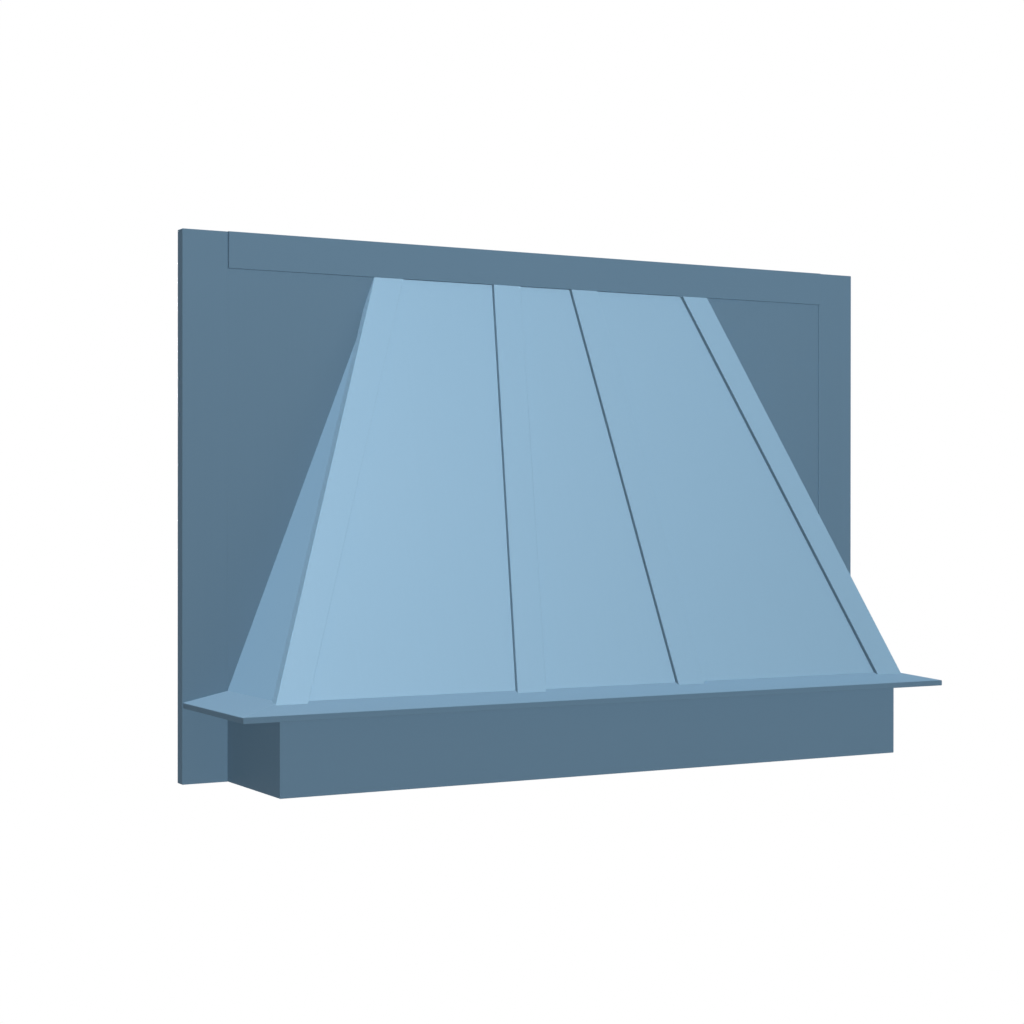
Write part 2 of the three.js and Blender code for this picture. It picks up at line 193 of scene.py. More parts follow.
# Fibres along x, as they show in sawn wood and, faintly, through paint.
def makeFibreGroup():
    length = ("Length", floatKind, fibreLook["length"])
    fineness = ("Fineness", floatKind, fibreLook["fineness"])
    tree, given, out = newGroup(
        "woodFibres",
        [("Vector", vectorKind, None), length, fineness],
        [("Fibre", floatKind), ("Band", floatKind)],
    )
    sizes = {0: given["Length"], 1: given["Fineness"], 2: given["Fineness"]}
    scale = addNode(tree, "ShaderNodeCombineXYZ", sizes).outputs[0]
    fine = addNode(tree, "ShaderNodeVectorMath", {0: given["Vector"], 1: scale}, operation="MULTIPLY")
    broad = stretch(tree, given["Vector"], fibreLook["bandScale"])
    tree.links.new(addNoise(tree, fine.outputs[0], 1.0, 3.0, fibreLook["breakUp"]), out["Fibre"])
    tree.links.new(addNoise(tree, broad, 1.0, 2.0), out["Band"])
    return tree


sprayLook = {
    "fibreLength": 5.0,
    "fibreFineness": 300.0,
    "driftScale": 3.2,
    "speckleScale": 950.0,
    "peelScale": 380.0,
    "speckleDepth": 0.03,
    "fibreDepth": 0.02,
    "peelSheen": 0.12,  # how far the sheen changes with the orange peel
    "driftSheen": 0.10,
    "fibreRelief": 0.35,  # beside the orange peel's relief of 1
}


# A sprayed satin coat: slow drift of tone, pigment speckle, orange peel and a trace of fibre.
def makeSprayGroup(fibres):
    tree, given, out = newGroup(
        "sprayedCoat",
        [
            ("Vector", vectorKind, None),
            ("Paint", colourKind, None),
            ("Drift", floatKind, 0.05),
            ("Roughness", floatKind, 0.45),
        ],
        [("Colour", colourKind), ("Roughness", floatKind), ("Height", floatKind)],
    )
    vector = given["Vector"]
    look = sprayLook
    values = {"Vector": vector, "Length": look["fibreLength"], "Fineness": look["fibreFineness"]}
    fibre = useGroup(tree, fibres, values)
    slow = addNoise(tree, vector, look["driftScale"], 3.0)
    speckle = addNoise(tree, vector, look["speckleScale"], 1.0)
    peel = addNoise(tree, vector, look["peelScale"], 2.0)
    drift = swing(tree, slow, given["Drift"])
    grit = swing(tree, speckle, look["speckleDepth"])
    streak = swing(tree, fibre["Fibre"], look["fibreDepth"])
    uneven = compute(tree, "ADD", compute(tree, "ADD", drift, grit), streak)
    tree.links.new(darken(tree, given["Paint"], compute(tree, "ADD", uneven, 1.0)), out["Colour"])
    matt = swing(tree, peel, look["peelSheen"])
    patch = swing(tree, slow, look["driftSheen"])
    rough = compute(tree, "ADD", compute(tree, "ADD", given["Roughness"], matt), patch)
    tree.links.new(rough, out["Roughness"])
    height = compute(tree, "MULTIPLY_ADD", fibre["Fibre"], look["fibreRelief"], peel)
    tree.links.new(height, out["Height"])
    return tree


sawnLook = {
    "fibreLength": 9.0,
    "fibreFineness": 420.0,
    "wanderScale": (1.3, 9.0, 9.0),
    "wander": 0.05,
    "pithBeside": 0.055,  # from the board's own origin
    "lateShare": 0.62,
    "fibreShare": 0.275,
    "bandDepth": 0.24,
    "bandDarkest": 0.88,
    "fibreSheen": 0.2,
    "sheen": 0.62,
    "lateRelief": 0.4,
}


# Solid wood: rings round a pith beside the board, so end grain and faces agree.
def makeSawnGroup(fibres):
    tree, given, out = newGroup(
        "sawnWood",
        [
            ("Vector", vectorKind, None),
            ("Early", colourKind, None),
            ("Late", colourKind, None),
            ("Ring", floatKind, 0.006),
        ],
        [("Colour", colourKind), ("Roughness", floatKind), ("Height", floatKind)],
    )
    vector = given["Vector"]
    look = sawnLook
    values = {"Vector": vector, "Length": look["fibreLength"], "Fineness": look["fibreFineness"]}
    fibre = useGroup(tree, fibres, values)
    wander = addNoise(tree, stretch(tree, vector, look["wanderScale"]), 1.0, 2.0)
    split = addNode(tree, "ShaderNodeSeparateXYZ", {0: vector})
    sway = swing(tree, wander, look["wander"])
    across = compute(tree, "ADD", split.outputs[1], sway)
    deep = compute(tree, "ADD", compute(tree, "ADD", split.outputs[2], look["pithBeside"]), sway)
    reach = compute(tree, "SQRT", compute(tree, "ADD", compute(tree, "MULTIPLY", across, across),
                                          compute(tree, "MULTIPLY", deep, deep)))
    phase = compute(tree, "FRACT", compute(tree, "DIVIDE", reach, given["Ring"]))
    late = compute(tree, "POWER", phase, 3.0)
    streak = compute(tree, "MULTIPLY", fibre["Fibre"], look["fibreShare"])
    share = compute(tree, "MULTIPLY_ADD", late, look["lateShare"], streak)
    body = mixColours(tree, share, given["Early"], given["Late"])
    band = compute(tree, "MULTIPLY_ADD", fibre["Band"], look["bandDepth"], look["bandDarkest"])
    tree.links.new(darken(tree, body, band), out["Colour"])
    rough = compute(tree, "MULTIPLY_ADD", fibre["Fibre"], look["fibreSheen"], look["sheen"])
    tree.links.new(rough, out["Roughness"])
    tree.links.new(compute(tree, "MULTIPLY_ADD", late, look["lateRelief"], fibre["Fibre"]), out["Height"])
    return tree


plyLook = {
    "fibreLength": 7.0,
    "fibreFineness": 300.0,
    "glueWidth": 0.06,  # of one ply
    "glueDepth": 0.55,
    "glueColour": (0.05, 0.025, 0.012, 1),
    "figureScale": (2.2, 15.0, 15.0),
    "figureRings": 9.0,
    "crossShare": 0.75,
    "figureShare": 0.28,
    "fibreShare": 0.2,
    "fibreSheen": 0.18,
    "sheen": 0.6,
    "figureRelief": 0.15,
}


# Plywood: plies that alternate through the thickness, with a plain face veneer.
def makePlyGroup(fibres):
    tree, given, out = newGroup(
        "plywood",
        [
            ("Vector", vectorKind, None),
            ("Veneer", colourKind, None),
            ("Cross", colourKind, None),
            ("Ply", floatKind, 0.0018),
        ],
        [("Colour", colourKind), ("Roughness", floatKind), ("Height", floatKind)],
    )
    vector = given["Vector"]
    look = plyLook
    values = {"Vector": vector, "Length": look["fibreLength"], "Fineness": look["fibreFineness"]}
    fibre = useGroup(tree, fibres, values)
    split = addNode(tree, "ShaderNodeSeparateXYZ", {0: vector})
    halfPly = compute(tree, "MULTIPLY", given["Ply"], 0.5)
    turns = compute(tree, "DIVIDE", compute(tree, "ADD", split.outputs[2], halfPly), given["Ply"])
    odd = compute(tree, "FLOORED_MODULO", compute(tree, "FLOOR", turns), 2.0)
    toGlue = compute(tree, "PINGPONG", compute(tree, "FRACT", turns), 0.5)
    glue = compute(tree, "LESS_THAN", toGlue, look["glueWidth"])
    figure = addNoise(tree, stretch(tree, vector, look["figureScale"]), 1.0, 3.0)
    rings = compute(tree, "PINGPONG", compute(tree, "MULTIPLY", figure, look["figureRings"]), 1.0)
    share = compute(tree, "MULTIPLY", odd, look["crossShare"])
    share = compute(tree, "MULTIPLY_ADD", rings, look["figureShare"], share)
    share = compute(tree, "MULTIPLY_ADD", fibre["Fibre"], look["fibreShare"], share)
    body = mixColours(tree, share, given["Veneer"], given["Cross"])
    depth = compute(tree, "MULTIPLY", glue, look["glueDepth"])
    tree.links.new(mixColours(tree, depth, body, look["glueColour"]), out["Colour"])
    rough = compute(tree, "MULTIPLY_ADD", fibre["Fibre"], look["fibreSheen"], look["sheen"])
    tree.links.new(rough, out["Roughness"])
    relief = compute(tree, "MULTIPLY_ADD", rings, look["figureRelief"], fibre["Fibre"])
    tree.links.new(relief, out["Height"])
    return tree


fibreGroup = makeFibreGroup()
sprayGroup = makeSprayGroup(fibreGroup)
sawnGroup = makeSawnGroup(fibreGroup)
plyGroup = makePlyGroup(fibreGroup)
print("shader groups built")

paintFinish = {
    "colour": (0.248, 0.436, 0.617, 1),
    "drift": 0.03,
    "roughness": 0.42,
    "specular": 0.17,
    "relief": 0.00004,
}
pineFinish = {"early": (0.62, 0.43, 0.24, 1), "late": (0.40, 0.21, 0.085, 1), "ring": 0.0052}
poplarFinish = {"early": (0.55, 0.44, 0.27, 1), "late": (0.41, 0.33, 0.18, 1), "ring": 0.0038}
birchFinish = {"veneer": (0.63, 0.47, 0.30, 1), "cross": (0.40, 0.25, 0.13, 1), "ply": 0.0018}
woodFinish = {"specular": 0.3, "relief": 0.00012}
zincFinish = {
    "bright": (0.62, 0.64, 0.66, 1),
    "dull": (0.50, 0.52, 0.55, 1),
    "cloudScale": 700.0,
    "roughness": 0.24,  # where it is smoothest
    "cloudRoughness": 0.22,
}

finishCache = {}


def startMaterial(name):
    material = bpy.data.materials.new(name)
    material.use_nodes = True
    tree = material.node_tree
    surface = tree.nodes["Principled BSDF"]
    return material, tree, surface


def grainVector(tree, grain):
    along, across, through = (Vector(axis).normalized() for axis in grain)
    rotation = Matrix((along, across, through)).to_euler()
    where = addNode(tree, "ShaderNodeTexCoord").outputs["Object"]
    return stretch(tree, where, (1, 1, 1), rotation)


def finishSurface(tree, surface, made, specular, relief):
    values = {"Strength": 1.0, "Distance": relief, "Height": made["Height"]}
    bump = addNode(tree, "ShaderNodeBump", values)
    tree.links.new(made["Colour"], surface.inputs["Base Color"])
    tree.links.new(made["Roughness"], surface.inputs["Roughness"])
    tree.links.new(bump.outputs[0], surface.inputs["Normal"])
    surface.inputs["Specular IOR Level"].default_value = specular


def grainKey(kind, grain):
    return kind + "_" + "_".join(f"{round(100 * value):d}" for axis in grain[:2] for value in axis)


def paintedMaterial(grain):
    key = grainKey("sprayedPaint", grain)
    if key not in finishCache:
        material, tree, surface = startMaterial(key)
        values = {
            "Vector": grainVector(tree, grain),
            "Paint": paintFinish["colour"],
            "Drift": paintFinish["drift"],
            "Roughness": paintFinish["roughness"],
        }
        made = useGroup(tree, sprayGroup, values)
        finishSurface(tree, surface, made, paintFinish["specular"], paintFinish["relief"])
        finishCache[key] = material
    return finishCache[key]


def sawnMaterial(kind, finish, grain):
    key = grainKey(kind, grain)
    if key not in finishCache:
        material, tree, surface = startMaterial(key)
        values = {
            "Vector": grainVector(tree, grain),
            "Early": finish["early"],
            "Late": finish["late"],
            "Ring": finish["ring"],
        }
        made = useGroup(tree, sawnGroup, values)
        finishSurface(tree, surface, made, woodFinish["specular"], woodFinish["relief"])
        finishCache[key] = material
    return finishCache[key]


def plyMaterial(grain):
    key = grainKey("birchPly", grain)
    if key not in finishCache:
        material, tree, surface = startMaterial(key)
        values = {
            "Vector": grainVector(tree, grain),
            "Veneer": birchFinish["veneer"],
            "Cross": birchFinish["cross"],
            "Ply": birchFinish["ply"],
        }
        made = useGroup(tree, plyGroup, values)
        finishSurface(tree, surface, made, woodFinish["specular"], woodFinish["relief"])
        finishCache[key] = material
    return finishCache[key]


def zincMaterial():
    if "zincPlate" not in finishCache:
        material, tree, surface = startMaterial("zincPlate")
        where = addNode(tree, "ShaderNodeTexCoord").outputs["Object"]
        look = zincFinish
        cloud = addNoise(tree, where, look["cloudScale"], 3.0)
        colour = mixColours(tree, cloud, look["dull"], look["bright"])
        rough = compute(tree, "MULTIPLY_ADD", cloud, look["cloudRoughness"], look["roughness"])
        tree.links.new(colour, surface.inputs["Base Color"])
        tree.links.new(rough, surface.inputs["Roughness"])
        surface.inputs["Metallic"].default_value = 1.0
        finishCache["zincPlate"] = material
    return finishCache["zincPlate"]


xAxis = Vector((1, 0, 0))
yAxis = Vector((0, 1, 0))
zAxis = Vector((0, 0, 1))


def largestNormal(node, heading):
    mesh = nodes[node].data
    facing = [face for face in mesh.polygons if face.normal.dot(heading) > 0.6]
    return max(facing, key=lambda face: face.area).normal.copy()


frontNormal = largestNormal("front_sheet", -yAxis)
upFront = xAxis.cross(frontNormal).normalized()
upFront = upFront if upFront.z > 0 else -upFront
leftNormal = largestNormal("side_board_left", -xAxis)
rightNormal = Vector((-leftNormal.x, 0, leftNormal.z))


def upSide(normal):
    up = yAxis.cross(normal).normalized()
    return up if up.z > 0 else -up


lyingX = (xAxis, yAxis, zAxis)
lyingY = (yAxis, xAxis, zAxis)
uprightX = (zAxis, xAxis, yAxis)
acrossFace = (xAxis, zAxis, yAxis)
onFront = (upFront, xAxis, frontNormal)
onLeft = (upSide(leftNormal), yAxis, leftNormal)
onRight = (upSide(rightNormal), yAxis, rightNormal)

boardFit = {
    "ease": 0.0009,  # radius of the sanded arrises
    "steps": 3,
    "glueLine": 0.00045,  # gaps up to this are closed
    "touching": 0.00002,  # and gaps under this are closed already
    "nearest": 0.0007,  # an edge this near another board is a joint, and stays sharp
    "shortest": 0.006,  # shorter edges stay sharp
    "bluntest": 20,  # degrees: edges blunter than this stay as they are
    "smoothUpTo": 32,  # degrees
    "backFacing": 0.5,  # how squarely a face looks along "bare" to stay unpainted
    "wallFacing": 0.9,  # and how squarely it looks at the wall
    "pocketDepth": 0.0015,  # faces this deep in the top rail are in its screw pockets
}
mergeReach = 0.000004  # the solids are loose triangles, whose corners this joins

# In the order in which the boards are fitted: each closes up to those before it.
# What each shows unpainted at the back: the face looking along "bare".
paintedBoards = {
    "left_stile": {"grain": uprightX, "bare": yAxis, "stock": "poplar"},
    "right_stile": {"grain": uprightX, "bare": yAxis, "stock": "poplar"},
    "top_rail": {"grain": acrossFace, "bare": yAxis, "stock": "poplar"},
    "apron_front": {"grain": acrossFace, "bare": yAxis, "stock": "poplar"},
    "apron_left": {"grain": lyingY, "bare": xAxis, "stock": "poplar"},
    "apron_right": {"grain": lyingY, "bare": -xAxis, "stock": "poplar"},
    "ledge_front": {"grain": lyingX, "bare": yAxis, "stock": "poplar"},
    "ledge_left": {"grain": lyingY, "bare": xAxis, "stock": "poplar"},
    "ledge_right": {"grain": lyingY, "bare": -xAxis, "stock": "poplar"},
    "front_sheet": {"grain": onFront, "bare": -frontNormal, "stock": "ply"},
    "side_board_left": {"grain": onLeft, "bare": -leftNormal, "stock": "ply"},
    "side_board_right": {"grain": onRight, "bare": -rightNormal, "stock": "ply"},
    "left_field_panel": {"grain": uprightX, "bare": yAxis, "stock": "ply"},
    "right_field_panel": {"grain": uprightX, "bare": yAxis, "stock": "ply"},
    "batten_1": {"grain": onFront, "bare": -frontNormal, "stock": "poplar"},
    "batten_2": {"grain": onFront, "bare": -frontNormal, "stock": "poplar"},
    "batten_3": {"grain": onFront, "bare": -frontNormal, "stock": "poplar"},
    "batten_4": {"grain": onFront, "bare": -frontNormal, "stock": "poplar"},
}


def solidTree(node):
    mesh = nodes[node].data
    points = [vertex.co.copy() for vertex in mesh.vertices]
    return BVHTree.FromPolygons(points, [tuple(face.vertices) for face in mesh.polygons])


boardTrees = {name: solidTree(name) for name in paintedBoards}


def startPiece(name, mesh):
    piece = bpy.data.objects.new(name, mesh)
    bpy.context.scene.collection.objects.link(piece)
    bpy.ops.object.select_all(action="DESELECT")
    piece.select_set(True)
    bpy.context.view_layer.objects.active = piece
    return piece


def mergeTriangles():
    bpy.ops.mesh.select_all(action="SELECT")
    bpy.ops.mesh.remove_doubles(threshold=mergeReach)
    bpy.ops.mesh.select_all(action="SELECT")
    bpy.ops.mesh.dissolve_limited(angle_limit=radians(0.1))


def closeGlueLines(board, earlier):
    net = bmesh.from_edit_mesh(board.data)
    moves = []
    for face in net.faces:
        centre = face.calc_center_median()
        for name in earlier:
            place, normal, _, gap = boardTrees[name].find_nearest(centre, boardFit["glueLine"])
            if place and gap > boardFit["touching"] and normal.dot(face.normal) < -0.99:
                moves.append((centre.copy(), face.normal.copy(), gap))
                break
    for centre, normal, gap in moves:
        net = bmesh.from_edit_mesh(board.data)
        bpy.ops.mesh.select_all(action="DESELECT")
        offsets = {face: (face.calc_center_median() - centre).length for face in net.faces}
        nearest = min(net.faces, key=lambda face: offsets[face] + 1 - face.normal.dot(normal))
        nearest.select_set(True)
        bmesh.update_edit_mesh(board.data)
        bpy.ops.transform.translate(value=normal * gap)


def easeArrises(board, name):
    others = [tree for other, tree in boardTrees.items() if other != name]
    net = bmesh.from_edit_mesh(board.data)
    bpy.ops.mesh.select_all(action="DESELECT")
    for edge in net.edges:
        if len(edge.link_faces) != 2 or not edge.is_convex:
            continue
        if edge.calc_length() < boardFit["shortest"]:
            continue
        if edge.calc_face_angle() < radians(boardFit["bluntest"]):
            continue
        middle = (edge.verts[0].co + edge.verts[1].co) / 2
        if any(tree.find_nearest(middle, boardFit["nearest"])[0] for tree in others):
            continue
        edge.select_set(True)
    bmesh.update_edit_mesh(board.data)
    bpy.ops.mesh.bevel(
        offset=boardFit["ease"], segments=boardFit["steps"], profile=0.5, affect="EDGES")


def isBare(face, name, bare):
    if face.normal.dot(bare) > boardFit["backFacing"] or face.normal.y > boardFit["wallFacing"]:
        return True
    low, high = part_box(name)
    depth = boardFit["pocketDepth"]
    deep = all(low[i] + depth < face.center[i] < high[i] - depth for i in range(3))
    return name == "top_rail" and deep


def makeBoard(name, look, earlier):
    board = startPiece(name + "_eased", nodes[name].data.copy())
    bpy.ops.object.mode_set(mode="EDIT")
    mergeTriangles()
    closeGlueLines(board, earlier)
    easeArrises(board, name)
    bpy.ops.object.mode_set(mode="OBJECT")
    board.data.materials.clear()
    board.data.materials.append(paintedMaterial(look["grain"]))
    if look["stock"] == "ply":
        board.data.materials.append(plyMaterial(look["grain"]))
    else:
        board.data.materials.append(sawnMaterial("poplar", poplarFinish, look["grain"]))
    for face in board.data.polygons:
        face.material_index = int(isBare(face, name, look["bare"]))
    bpy.ops.object.shade_smooth_by_angle(angle=radians(boardFit["smoothUpTo"]))
    weighted = board.modifiers.new("flatFaces", "WEIGHTED_NORMAL")
    weighted.keep_sharp = True
    bpy.ops.object.modifier_apply(modifier=weighted.name)
    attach(board, "root")
    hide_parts(name)
    return board


boards = {}
for boardName, boardLook in paintedBoards.items():
    boards[boardName] = makeBoard(boardName, boardLook, list(boards))
print("boards eased and painted:", len(boards))

framing = {
    "hanging_rail": acrossFace,
    "rafter_left": onFront,
    "rafter_right": onFront,
    "corner_strip_left": onLeft,
    "corner_strip_right": onRight,
    "foot_cleat_front": acrossFace,
    "foot_cleat_left": lyingY,
    "foot_cleat_right": lyingY,
    "corner_block_left": uprightX,
    "corner_block_right": uprightX,
    "insert_rail_front": acrossFace,
    "insert_rail_left": lyingY,
    "insert_rail_right": lyingY,
}
framingEase = {"radius": 0.0008, "steps": 2, "bluntest": 40}


def dressFraming(name, grain):
    piece = nodes[name]
    piece.data.materials.clear()
    piece.data.materials.append(sawnMaterial("pine", pineFinish, grain))
    weld = piece.modifiers.new("weld", "WELD")
    weld.merge_threshold = mergeReach
    ease = piece.modifiers.new("ease", "BEVEL")
    ease.width = framingEase["radius"]
    ease.segments = framingEase["steps"]
    ease.limit_method = "ANGLE"
    ease.angle_limit = radians(framingEase["bluntest"])


for framingName, framingGrain in framing.items():
    dressFraming(framingName, framingGrain)
print("framing dressed:", len(framing))

screwShape = {
    "headRadius": 0.0042,
    "headHeight": 0.0026,
    "dome": 0.0017,
    "domeSteps": 5,
    "roundSides": 32,
    "recessWidth": 0.0029,
    "recessDepth": 0.0019,
    "recessFloor": 0.8,  # of the width at its mouth
    "coreRadius": 0.00145,
    "threadRadius": 0.00198,
    "pitch": 0.0022,
    "plainLength": 0.008,  # under the head, without thread
    "pointLength": 0.0045,
    "pointWidth": 0.06,  # of the core's width
    "threadSteps": 12,  # in one turn
    "smoothUpTo": 35,  # degrees
}


def startEditing():
    bpy.ops.object.mode_set(mode="EDIT")
    bpy.ops.mesh.select_all(action="DESELECT")


def selectFaces(piece, wanted):
    bpy.ops.mesh.select_all(action="DESELECT")
    net = bmesh.from_edit_mesh(piece.data)
    for face in net.faces:
        if wanted(face):
            face.select_set(True)
    bmesh.update_edit_mesh(piece.data)


# The screw lies along z: its head's seat at 0, the head below it, the point above.
def makeHead(length):
    look = screwShape
    bpy.ops.object.select_all(action="DESELECT")
    middle = (0, 0, -look["headHeight"] / 2)
    bpy.ops.mesh.primitive_cylinder_add(
        vertices=look["roundSides"], radius=look["headRadius"], depth=look["headHeight"],
        location=middle)
    screw = bpy.context.object
    bpy.ops.object.transform_apply(location=True, rotation=True, scale=True)
    startEditing()
    selectFaces(screw, lambda face: face.normal.z < -0.9)
    bpy.ops.mesh.bevel(
        offset=look["dome"], segments=look["domeSteps"], profile=0.5, affect="EDGES")
    selectFaces(screw, lambda face: face.normal.z > 0.9)
    bpy.ops.mesh.inset(thickness=look["headRadius"] - look["coreRadius"])
    shank = length - look["pointLength"]
    bpy.ops.mesh.extrude_region_move(TRANSFORM_OT_translate={"value": (0, 0, shank)})
    bpy.ops.mesh.extrude_region_move(TRANSFORM_OT_translate={"value": (0, 0, look["pointLength"])})
    bpy.ops.transform.resize(value=(look["pointWidth"], look["pointWidth"], 1))
    bpy.ops.object.mode_set(mode="OBJECT")
    return screw


def cutRecess(screw):
    look = screwShape
    bpy.ops.object.select_all(action="DESELECT")
    depth = 2 * look["recessDepth"]
    bpy.ops.mesh.primitive_cube_add(size=1, location=(0, 0, -look["headHeight"]))
    bit = bpy.context.object
    bit.scale = (look["recessWidth"], look["recessWidth"], depth)
    bpy.ops.object.transform_apply(location=True, rotation=True, scale=True)
    startEditing()
    selectFaces(bit, lambda face: face.normal.z > 0.9)
    bpy.ops.transform.resize(value=(look["recessFloor"], look["recessFloor"], 1))
    bpy.ops.object.mode_set(mode="OBJECT")
    bpy.ops.object.select_all(action="DESELECT")
    screw.select_set(True)
    bpy.context.view_layer.objects.active = screw
    cut = screw.modifiers.new("recess", "BOOLEAN")
    cut.operation = "DIFFERENCE"
    cut.solver = "EXACT"
    cut.object = bit
    bpy.ops.object.modifier_apply(modifier=cut.name)
    bpy.data.objects.remove(bit)


def makeThread(length):
    look = screwShape
    bpy.ops.object.select_all(action="DESELECT")
    depth = look["threadRadius"] - look["coreRadius"]
    place = (look["coreRadius"], 0, look["plainLength"])
    bpy.ops.mesh.primitive_circle_add(
        vertices=3, radius=depth, location=place, rotation=(radians(90), radians(90), 0))
    thread = bpy.context.object
    bpy.ops.object.transform_apply(location=True, rotation=True, scale=True)
    threaded = length - look["pointLength"] - look["plainLength"]
    wind = thread.modifiers.new("wind", "SCREW")
    wind.axis = "Z"
    wind.screw_offset = look["pitch"]
    wind.iterations = int(threaded / look["pitch"])
    wind.steps = look["threadSteps"]
    wind.render_steps = look["threadSteps"]
    wind.use_merge_vertices = False
    bpy.ops.object.modifier_apply(modifier=wind.name)
    startEditing()
    bpy.ops.mesh.select_all(action="SELECT")
    bpy.ops.mesh.fill_holes(sides=3)
    bpy.ops.mesh.select_all(action="SELECT")
    bpy.ops.mesh.normals_make_consistent(inside=False)
    bpy.ops.object.mode_set(mode="OBJECT")
    return thread


def makeScrew(length):
    screw = makeHead(length)
    cutRecess(screw)
    thread = makeThread(length)
    bpy.ops.object.select_all(action="DESELECT")
    thread.select_set(True)
    screw.select_set(True)
    bpy.context.view_layer.objects.active = screw
    bpy.ops.object.join()
    bpy.ops.object.shade_smooth_by_angle(angle=radians(screwShape["smoothUpTo"]))
    screw.data.materials.clear()
    screw.data.materials.append(zincMaterial())
    return screw


def screwAxis(name):
    points = [vertex.co for vertex in nodes[name].data.vertices]
    middle = sum(points, Vector()) / len(points)
    tip = max(points, key=lambda point: (point - middle).length)
    along = (tip - middle).normalized()
    reach = [point.dot(along) for point in points]
    length = max(reach) - min(reach) - screwShape["headHeight"]
    return tip - along * length, along, length


def placeScrew(name, pattern, seat, along):
    screw = startPiece(name + "_threaded", pattern.data.copy())
    screw.location = seat
    screw.rotation_euler = along.to_track_quat("Z", "Y").to_euler()
    bpy.ops.object.transform_apply(location=True, rotation=True, scale=True)
    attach(screw, "root")
    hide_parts(name)
    return screw


screws = []
screwPatterns = {}
screwNames = [name for name in nodes if "_screw_" in name]
for screwName in screwNames:
    screwSeat, screwAlong, screwLength = screwAxis(screwName)
    lengthKey = round(screwLength, 4)
    if lengthKey not in screwPatterns:
        screwPatterns[lengthKey] = makeScrew(lengthKey)
    screws.append(placeScrew(screwName, screwPatterns[lengthKey], screwSeat, screwAlong))
for screwPattern in screwPatterns.values():
    bpy.data.objects.remove(screwPattern)
print("screws threaded:", len(screwNames), "in lengths", sorted(screwPatterns))

studio = {
    "floorBelow": 1.65,  # the floor of the room, under a cover at its usual height
    "floorRadius": 6.0,
    "floorSides": 96,
    "floorColour": (0.9, 0.9, 0.9, 1),
    "floorRoughness": 0.9,
    "floorPlain": 1.2,  # out to here the floor is plain, and from there it turns white
    "floorWhite": 4.5,
    "ambient": 0.03,
    "wallShine": 0.15,  # what shiny surfaces see on the wall's side, where white is 1
    "wallFrom": -0.15,  # headings along y between which that side begins
    "wallFull": 0.35,
}


def collect(name, pieces):
    group = bpy.data.collections.new(name)
    for piece in pieces:
        group.objects.link(piece)
    return group


def addSun(name, look):
    data = bpy.data.lights.new(name, "SUN")
    data.energy = look["strength"] * pi
    data.color = look.get("tint", (1, 1, 1))
    data.angle = radians(look["softness"])
    data.use_shadow = look.get("shadow", False)
    data.cycles.max_bounces = 0  # straight from the lamp, with no tint off the next board
    lamp = bpy.data.objects.new(name, data)
    lamp.rotation_euler = (-Vector(look["from"])).to_track_quat("-Z", "Y").to_euler()
    bpy.context.scene.collection.objects.link(lamp)
    lamp.light_linking.receiver_collection = look["on"]


# A square panel. Its strength is the light that reaches the point it is aimed at.
def addPanel(name, look):
    data = bpy.data.lights.new(name, "AREA")
    reach = Vector(look["aim"]) - Vector(look["place"])
    data.size = look["size"]
    data.energy = look["strength"] * pi * pi * reach.length_squared
    data.color = look.get("tint", (1, 1, 1))
    data.use_shadow = False
    data.cycles.max_bounces = 0
    lamp = bpy.data.objects.new(name, data)
    lamp.location = look["place"]
    lamp.rotation_euler = reach.to_track_quat("-Z", "Y").to_euler()
    lamp.visible_camera = False
    lamp.visible_glossy = False
    bpy.context.scene.collection.objects.link(lamp)
    lamp.light_linking.receiver_collection = look["on"]


def makeFloor():
    low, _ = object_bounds()
    bpy.ops.object.select_all(action="DESELECT")
    place = (0, 0, low.z - studio["floorBelow"])
    bpy.ops.mesh.primitive_circle_add(
        vertices=studio["floorSides"], radius=studio["floorRadius"], fill_type="NGON",
        location=place)
    floor = bpy.context.object
    floor.name = "studio_floor"
    material, tree, surface = startMaterial("studioFloor")
    surface.inputs["Base Color"].default_value = studio["floorColour"]
    surface.inputs["Roughness"].default_value = studio["floorRoughness"]
    surface.inputs["Specular IOR Level"].default_value = 0.0
    where = addNode(tree, "ShaderNodeTexCoord").outputs["Object"]
    reach = addNode(tree, "ShaderNodeVectorMath", {0: where}, operation="LENGTH").outputs["Value"]
    limits = {0: reach, 1: studio["floorPlain"], 2: studio["floorWhite"], 3: 0.0, 4: 1.0}
    fade = addNode(tree, "ShaderNodeMapRange", limits).outputs[0]
    white = addNode(tree, "ShaderNodeEmission", {"Color": (1, 1, 1, 1), "Strength": 1.0}).outputs[0]
    camera = addNode(tree, "ShaderNodeLightPath").outputs["Is Camera Ray"]
    share = compute(tree, "MULTIPLY", fade, camera)
    above = addNode(tree, "ShaderNodeMixShader", {0: share, 1: surface.outputs[0], 2: white})
    below = addNode(tree, "ShaderNodeNewGeometry").outputs["Backfacing"]
    clear = addNode(tree, "ShaderNodeBsdfTransparent").outputs[0]  # for a look from under the floor
    either = addNode(tree, "ShaderNodeMixShader", {0: below, 1: above.outputs[0], 2: clear})
    tree.links.new(either.outputs[0], tree.nodes["Material Output"].inputs["Surface"])
    floor.data.materials.append(material)
    floor.visible_diffuse = False  # a plain studio: no light comes up from the floor
    floor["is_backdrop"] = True
    return floor


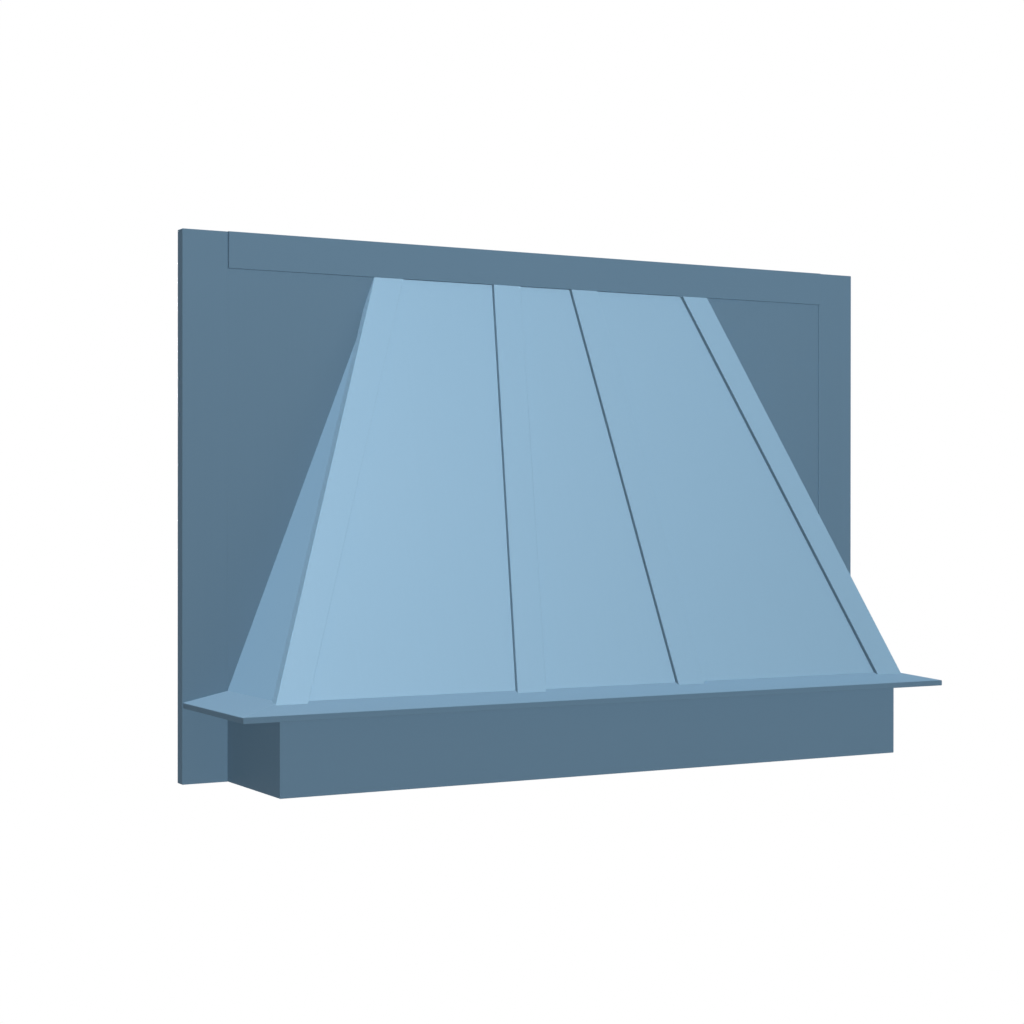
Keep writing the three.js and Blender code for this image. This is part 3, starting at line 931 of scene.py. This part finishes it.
def makeWorld():
    world = bpy.data.worlds.new("studioWorld")
    bpy.context.scene.world = world
    world.use_nodes = True
    tree = world.node_tree
    tree.nodes.clear()
    path = addNode(tree, "ShaderNodeLightPath").outputs
    heading = addNode(tree, "ShaderNodeTexCoord").outputs["Generated"]
    split = addNode(tree, "ShaderNodeSeparateXYZ", {0: heading})
    limits = {1: studio["wallFrom"], 2: studio["wallFull"], 3: 1.0, 4: studio["wallShine"]}
    room = addNode(tree, "ShaderNodeMapRange", {0: split.outputs[1], **limits}).outputs[0]
    shine = compute(tree, "MULTIPLY", path["Is Glossy Ray"], room)
    seen = compute(tree, "MAXIMUM", compute(tree, "MAXIMUM", path["Is Camera Ray"], shine),
                   path["Is Transmission Ray"])
    strength = compute(tree, "MULTIPLY_ADD", seen, 1.0 - studio["ambient"], studio["ambient"])
    sky = addNode(tree, "ShaderNodeBackground", {"Color": (1, 1, 1, 1), "Strength": strength})
    output = addNode(tree, "ShaderNodeOutputWorld")
    tree.links.new(sky.outputs[0], output.inputs["Surface"])


studioFloor = makeFloor()
makeWorld()

frontNames = [name for name in boards if name.startswith(("front", "batten"))]
leaning = collect("leaningFront", [boards[name] for name in frontNames])
leftBoard = collect("leftBoard", [boards["side_board_left"]])
rightBoard = collect("rightBoard", [boards["side_board_right"]])
inside = [nodes[name] for name in framing] + screws
everything = collect("wholeCover", list(boards.values()) + inside)
leftEdge = collect("leftEdge", [boards["front_sheet"], boards["batten_1"]])
standing = [piece for piece in everything.objects if piece.name not in leaning.objects]
upright = collect("upright", standing)
ground = collect("ground", [studioFloor])

# The groups above are kept few: with one more, the renderer left lamps out at random.
# "from" is the side that the light comes from, and "softness" the lamp's size in degrees.
suns = {
    "frontLamp": {"from": (0, -1, 0.15), "strength": 0.152, "softness": 20, "on": everything},
    "topLamp": {"from": (0, 0.50, 1), "strength": 0.755, "softness": 20, "on": everything},
    "keyLamp": {
        "from": (0.30, -0.77, 0.54),
        "strength": 0.348,
        "softness": 10,
        "tint": (1, 0.98, 0.94),
        "on": leaning,
    },
    "leftFill": {"from": (-1, 0, 0), "strength": 0.155, "softness": 10, "on": upright},
    "leftEdgeLamp": {"from": (-1, 0, 0), "strength": 0.23, "softness": 10, "on": leftEdge},
    "underLamp": {"from": (0, -0.35, -1), "strength": 0.25, "softness": 10, "on": everything},
    "leftLamp": {"from": leftNormal, "strength": 0.354, "softness": 15, "on": leftBoard},
    "rightLamp": {"from": rightNormal, "strength": 0.42, "softness": 15, "on": rightBoard},
    "rightFill": {
        "from": (1, 0, 0),
        "strength": 0.23,
        "softness": 10,
        "shadow": True,
        "on": everything,
    },
    "backLamp": {
        "from": (0.15, 1, 0.12),
        "strength": 0.60,
        "softness": 12,
        "shadow": True,
        "on": everything,
    },
    "floorLamp": {
        "from": (0.1, -0.2, 1),
        "strength": 0.9,
        "softness": 25,
        "shadow": True,
        "on": ground,
    },
}
for lampName, sun in suns.items():
    addSun(lampName, sun)

panels = {
    "highPanel": {
        "place": (-0.1, -2.4, 2.0),
        "aim": (0, 0, 0.1),
        "size": 1.0,
        "strength": 0.213,
        "on": everything,
    },
    "leaningPanel": {
        "place": (-1.6, -1.9, 0.4),
        "aim": (-0.45, -0.15, -0.40),
        "size": 0.8,
        "strength": 0.481,
        "tint": (1.07, 1, 0.947),
        "on": leaning,
    },
}
for lampName, panel in panels.items():
    addPanel(lampName, panel)
print("studio lit")

bpy.context.scene.view_settings.view_transform = "Standard"
